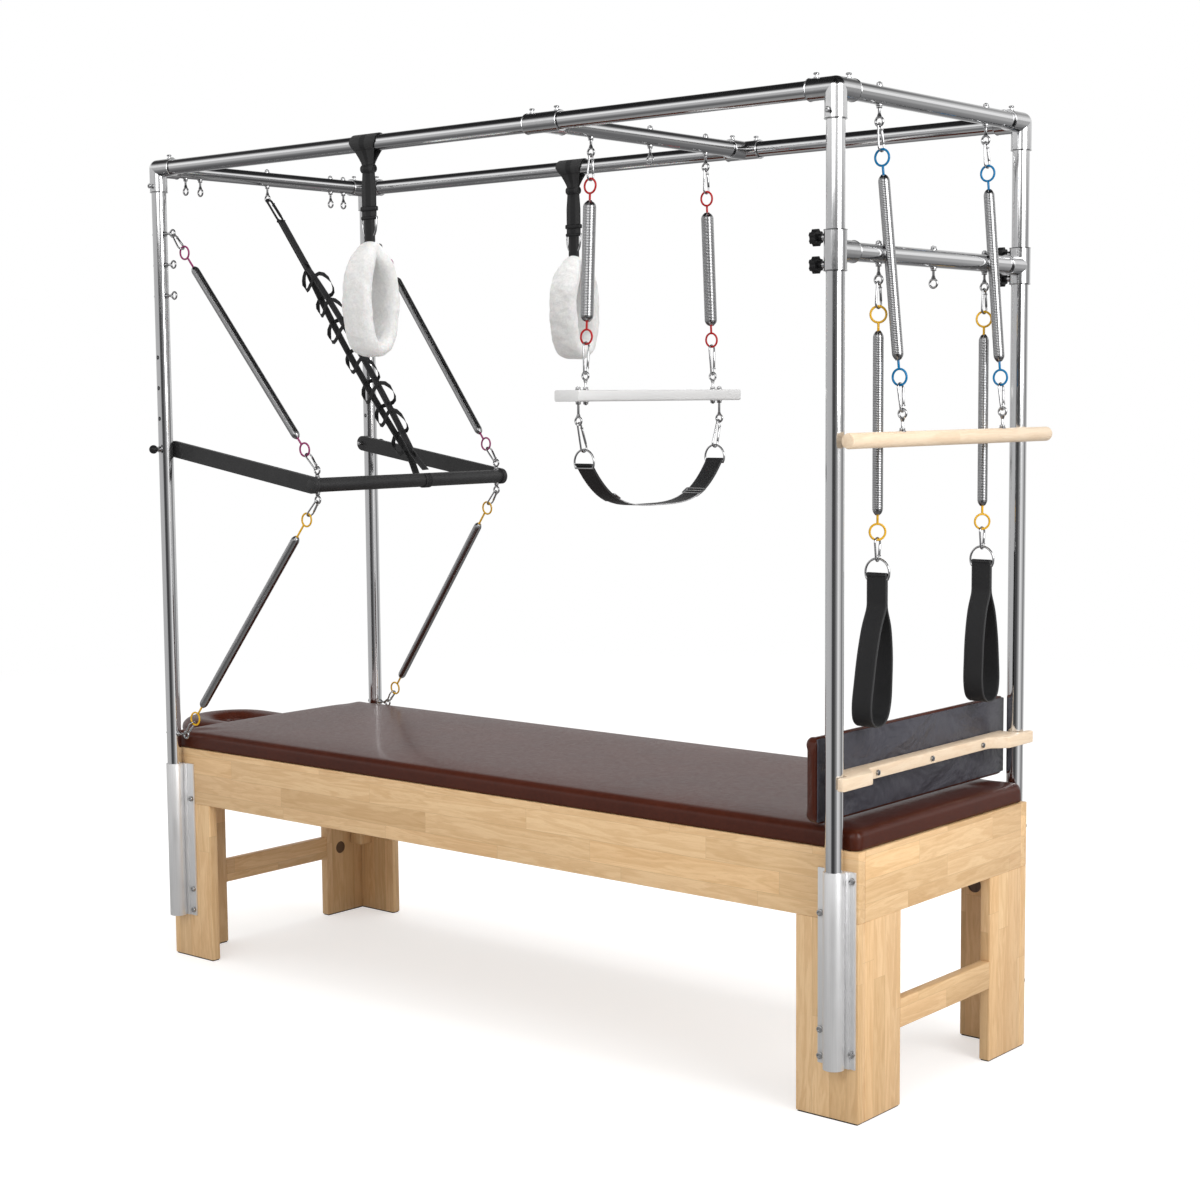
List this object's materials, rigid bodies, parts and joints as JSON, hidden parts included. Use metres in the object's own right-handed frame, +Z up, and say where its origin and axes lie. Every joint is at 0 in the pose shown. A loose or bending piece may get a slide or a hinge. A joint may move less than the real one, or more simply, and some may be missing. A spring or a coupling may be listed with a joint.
{
  "type": "pilates trapeze table",
  "caption": "Padded wooden table on boxed legs under a steel tube canopy, with a push-through bar, trapeze, roll-down bar, slide bar, handles, cuffs and springs.",
  "frame": {"origin": "on the floor, below the middle of the whole table", "axes": "+X towards the footboard and slide bar end, +Y towards the far long side, +Z up"},
  "size_m": [2.522, 0.872, 2.124],
  "materials": {
    "rubberwood": "oiled light hardwood",
    "plywood": "plain plywood",
    "beech": "pale satin wood",
    "cushion_leather": "glossy dark red-brown",
    "polished_steel": "polished stainless steel",
    "spring_steel": "bright spring wire",
    "pin_steel": "steel pin with a black ball",
    "socket_aluminium": "satin extrusion",
    "silver_aluminium": "light silver coating",
    "black_paint": "matt black",
    "black_plastic": "moulded",
    "webbing": "black woven webbing",
    "fleece": "light grey pile"
  },
  "bodies": {
    "frame": {"near_side_rail": "rubberwood", "far_side_rail": "rubberwood", "left_end_rail": "rubberwood", "right_end_rail": "rubberwood", "near_left_leg": "rubberwood", "far_left_leg": "rubberwood", "near_right_leg": "rubberwood", "far_right_leg": "rubberwood", "left_stretcher": "rubberwood", "right_stretcher": "rubberwood", "deck_board": "plywood", "deck_bearer": "rubberwood", "mat": "cushion_leather", "near_left_socket": "socket_aluminium", "far_left_socket": "socket_aluminium", "near_right_socket": "socket_aluminium", "far_right_socket": "socket_aluminium", "near_left_upright": "polished_steel", "far_left_upright": "polished_steel", "near_right_upright": "polished_steel", "far_right_upright": "polished_steel", "near_left_corner_fitting": "polished_steel", "far_left_corner_fitting": "polished_steel", "near_right_corner_fitting": "polished_steel", "far_right_corner_fitting": "polished_steel", "near_long_tube": "polished_steel", "far_long_tube": "polished_steel", "left_end_tube": "polished_steel", "right_end_tube": "polished_steel", "cross_tube": "polished_steel", "safety_strap": "webbing"},
    "upper_push_springs": {"near_upper_push_spring": "spring_steel", "far_upper_push_spring": "spring_steel"},
    "lower_push_springs": {"near_lower_push_spring": "spring_steel", "far_lower_push_spring": "spring_steel"},
    "head_cradle": {"head_cradle_board": "plywood", "head_cradle_cushion": "cushion_leather"},
    "push_bar": {"push_through_bar": "black_paint"},
    "near_pin": {"near_pivot_pin": "pin_steel"},
    "far_pin": {"far_pivot_pin": "pin_steel"},
    "sliding_bar": {"slide_bar": "polished_steel"},
    "near_lower_knob": {"near_lower_star_knob": "black_plastic"},
    "near_upper_knob": {"near_upper_star_knob": "black_plastic"},
    "far_lower_knob": {"far_lower_star_knob": "black_plastic"},
    "far_upper_knob": {"far_upper_star_knob": "black_plastic"},
    "near_handle_chain": {"near_handle_spring": "spring_steel"},
    "far_handle_chain": {"far_handle_spring": "spring_steel"},
    "near_handle_strap": {"near_handle": "webbing"},
    "far_handle_strap": {"far_handle": "webbing"},
    "trapeze_chains": {"near_trapeze_spring": "spring_steel", "far_trapeze_spring": "spring_steel"},
    "trapeze": {"trapeze_bar": "silver_aluminium"},
    "sling": {"trapeze_sling": "webbing"},
    "roll_down_chains": {"near_roll_down_spring": "spring_steel", "far_roll_down_spring": "spring_steel"},
    "roll_down": {"roll_down_bar": "beech"},
    "near_cuff": {"near_fleece_cuff": "fleece"},
    "far_cuff": {"far_fleece_cuff": "fleece"},
    "footboard": {"foot_pad": "cushion_leather", "foot_bar": "beech"}
  },
  "joints": [
    {"name": "head_cradle_slide", "type": "slide", "parent": "frame", "child": "head_cradle", "axis": [-1, 0, 0], "range_m": [0, 0.045]},
    {"name": "push_bar_hinge", "type": "hinge", "parent": "frame", "child": "push_bar", "pos_m": [-0.918, 0, 1.37], "axis": [0, -1, 0], "range_deg": [0, 40], "deforming": ["safety_strap"]},
    {"name": "upper_push_follow", "type": "slide", "parent": "frame", "child": "upper_push_springs", "axis": [-0.2554, 0, 0.9668], "range_m": [0, 0.36954], "deforming": ["near_upper_push_spring", "far_upper_push_spring"]},
    {"name": "lower_push_follow", "type": "slide", "parent": "frame", "child": "lower_push_springs", "axis": [-0.124, 0, 0.9923], "range_m": [0, 0.37751], "deforming": ["near_lower_push_spring", "far_lower_push_spring"]},
    {"name": "near_pin_pull", "type": "slide", "parent": "frame", "child": "near_pin", "axis": [0, -1, 0], "range_m": [0, 0.05]},
    {"name": "far_pin_pull", "type": "slide", "parent": "frame", "child": "far_pin", "axis": [0, 1, 0], "range_m": [0, 0.05]},
    {"name": "slide_bar_height", "type": "slide", "parent": "frame", "child": "sliding_bar", "axis": [0, 0, 1], "range_m": [-0.08, 0]},
    {"name": "near_lower_knob_turn", "type": "hinge", "parent": "sliding_bar", "child": "near_lower_knob", "pos_m": [1.14622, -0.372, 1.755], "axis": [1, 0, 0], "range_deg": [0, 360]},
    {"name": "near_upper_knob_turn", "type": "hinge", "parent": "sliding_bar", "child": "near_upper_knob", "pos_m": [1.14622, -0.372, 1.809], "axis": [1, 0, 0], "range_deg": [0, 360]},
    {"name": "far_lower_knob_turn", "type": "hinge", "parent": "sliding_bar", "child": "far_lower_knob", "pos_m": [1.14622, 0.372, 1.755], "axis": [1, 0, 0], "range_deg": [0, 360]},
    {"name": "far_upper_knob_turn", "type": "hinge", "parent": "sliding_bar", "child": "far_upper_knob", "pos_m": [1.14622, 0.372, 1.809], "axis": [1, 0, 0], "range_deg": [0, 360]},
    {"name": "near_handle_swing", "type": "hinge", "parent": "sliding_bar", "child": "near_handle_chain", "pos_m": [1.192, -0.214, 1.73], "axis": [0, 1, 0], "range_deg": [0, 40]},
    {"name": "far_handle_swing", "type": "hinge", "parent": "sliding_bar", "child": "far_handle_chain", "pos_m": [1.192, 0.214, 1.73], "axis": [0, 1, 0], "range_deg": [0, 40]},
    {"name": "near_handle_stretch", "type": "slide", "parent": "near_handle_chain", "child": "near_handle_strap", "axis": [0, 0, -1], "range_m": [0, 0.06], "stiffness_N_per_m": 400, "springref_m": -0.02, "deforming": ["near_handle_spring"]},
    {"name": "far_handle_stretch", "type": "slide", "parent": "far_handle_chain", "child": "far_handle_strap", "axis": [0, 0, -1], "range_m": [0, 0.06], "stiffness_N_per_m": 400, "springref_m": -0.02, "deforming": ["far_handle_spring"]},
    {"name": "trapeze_swing", "type": "hinge", "parent": "frame", "child": "trapeze_chains", "pos_m": [0.427, 0, 2.047], "axis": [0, 1, 0], "range_deg": [-35, 35]},
    {"name": "trapeze_stretch", "type": "slide", "parent": "trapeze_chains", "child": "trapeze", "axis": [0, 0, -1], "range_m": [0, 0.25], "stiffness_N_per_m": 1500, "springref_m": -0.05, "deforming": ["near_trapeze_spring", "far_trapeze_spring"]},
    {"name": "sling_swing", "type": "hinge", "parent": "trapeze", "child": "sling", "pos_m": [0.427, 0, 1.443], "axis": [0, 1, 0], "range_deg": [-40, 40]},
    {"name": "roll_down_swing", "type": "hinge", "parent": "frame", "child": "roll_down_chains", "pos_m": [1.192, 0, 2.047], "axis": [0, -1, 0], "range_deg": [0, 35]},
    {"name": "roll_down_stretch", "type": "slide", "parent": "roll_down_chains", "child": "roll_down", "axis": [0, 0, -1], "range_m": [0, 0.25], "stiffness_N_per_m": 600, "springref_m": -0.03, "deforming": ["near_roll_down_spring", "far_roll_down_spring"]},
    {"name": "near_cuff_swing", "type": "hinge", "parent": "frame", "child": "near_cuff", "pos_m": [-0.135, -0.372, 2.099], "axis": [-1, 0, 0], "range_deg": [-30, 60]},
    {"name": "far_cuff_swing", "type": "hinge", "parent": "frame", "child": "far_cuff", "pos_m": [-0.135, 0.372, 2.099], "axis": [1, 0, 0], "range_deg": [-30, 60]},
    {"name": "footboard_lift", "type": "slide", "parent": "frame", "child": "footboard", "axis": [0, 0, 1], "range_m": [0, 0.08]}
  ],
  "couplings": [
    {"joint": "upper_push_follow", "follows": "push_bar_hinge", "m_per_rad": 0.52932},
    {"joint": "lower_push_follow", "follows": "push_bar_hinge", "m_per_rad": 0.54074}
  ]
}
